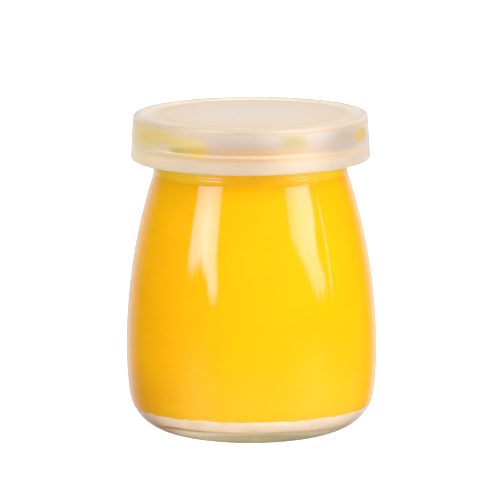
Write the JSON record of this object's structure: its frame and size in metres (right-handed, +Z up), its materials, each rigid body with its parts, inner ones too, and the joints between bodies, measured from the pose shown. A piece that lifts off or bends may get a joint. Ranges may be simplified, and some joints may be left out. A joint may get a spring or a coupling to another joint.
{
  "type": "glass yogurt jar",
  "caption": "Small wide-hipped glass jar filled to the neck with yellow fruit yogurt over a thin pale layer, shut by a translucent push-fit plastic lid.",
  "frame": {"origin": "centre of the ring that the jar stands on", "axes": "+Z up along the jar's axis, from the foot to the lid; the jar is round, so +X and +Y are free"},
  "size_m": [0.06, 0.06, 0.0756],
  "materials": {
    "jar_glass": "clear pressed soda-lime glass, glossy",
    "lid_plastic": "translucent frosted polyethylene, satin",
    "yellow_yogurt": "smooth set mango yogurt, opaque and moist",
    "cream_layer": "pale set cream layer, soft and matt"
  },
  "bodies": {
    "root": {"glass_jar": "jar_glass", "snap_lid": "lid_plastic", "yogurt": "yellow_yogurt", "pale_layer": "cream_layer"}
  },
  "joints": []
}
